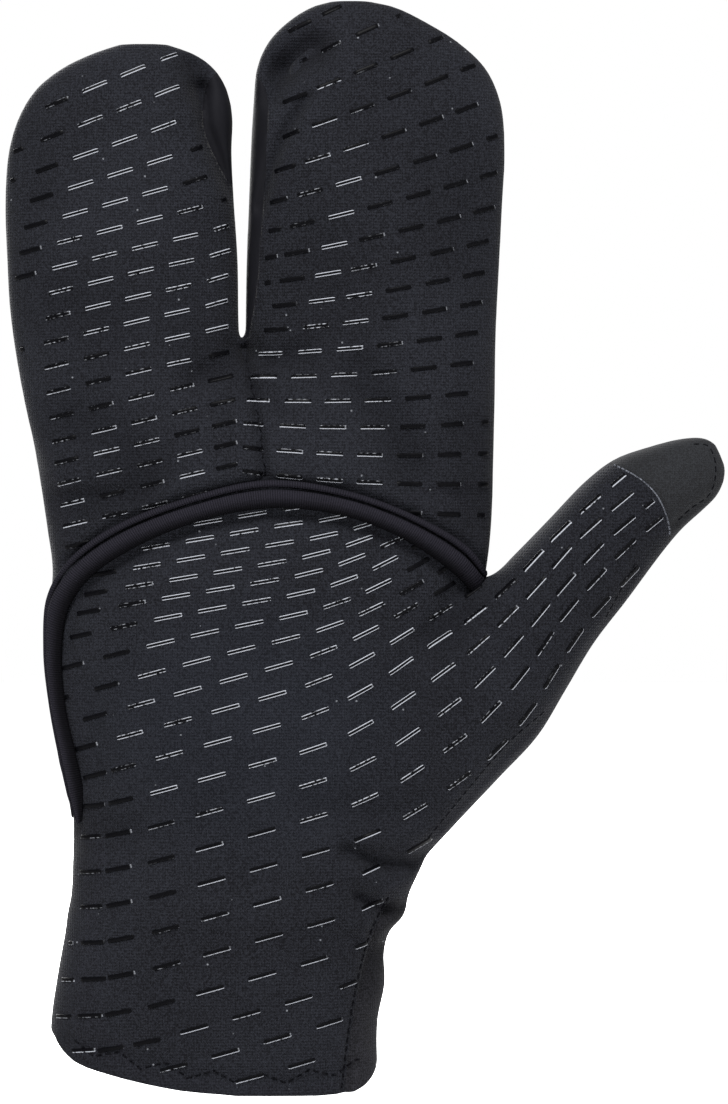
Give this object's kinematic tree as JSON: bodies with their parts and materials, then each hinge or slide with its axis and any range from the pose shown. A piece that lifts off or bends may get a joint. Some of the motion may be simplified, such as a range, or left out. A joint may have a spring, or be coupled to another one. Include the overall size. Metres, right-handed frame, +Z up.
{
  "type": "running glove with split mitten hood",
  "caption": "Right-hand thermal running glove with a split mitten hood pulled over the fingers, grip dashes on the palm side and a touch panel on the thumb.",
  "frame": {"origin": "middle of the wrist opening, at the hem, where the hand goes in", "axes": "+Z up from the cuff to the fingertips, +X to the thumb, +Y to the back of the hand, so the palm faces -Y"},
  "size_m": [0.1643, 0.0321, 0.2512],
  "materials": {
    "grip_fabric": "matt charcoal brushed jersey",
    "stretch_fabric": "matt charcoal stretch jersey",
    "touch_fabric": "matt fine suede-like knit",
    "wind_fabric": "smooth thin woven windproof cloth",
    "binding_tape": "ribbed elastic binding tape",
    "grip_silicone": "glossy black raised silicone print",
    "thread": "spun sewing thread"
  },
  "bodies": {
    "root": {"glove_palm": "grip_fabric", "glove_back": "stretch_fabric", "thumb_tip": "touch_fabric", "hood_palm": "grip_fabric", "hood_back": "wind_fabric", "opening_binding": "binding_tape"}
  },
  "joints": []
}
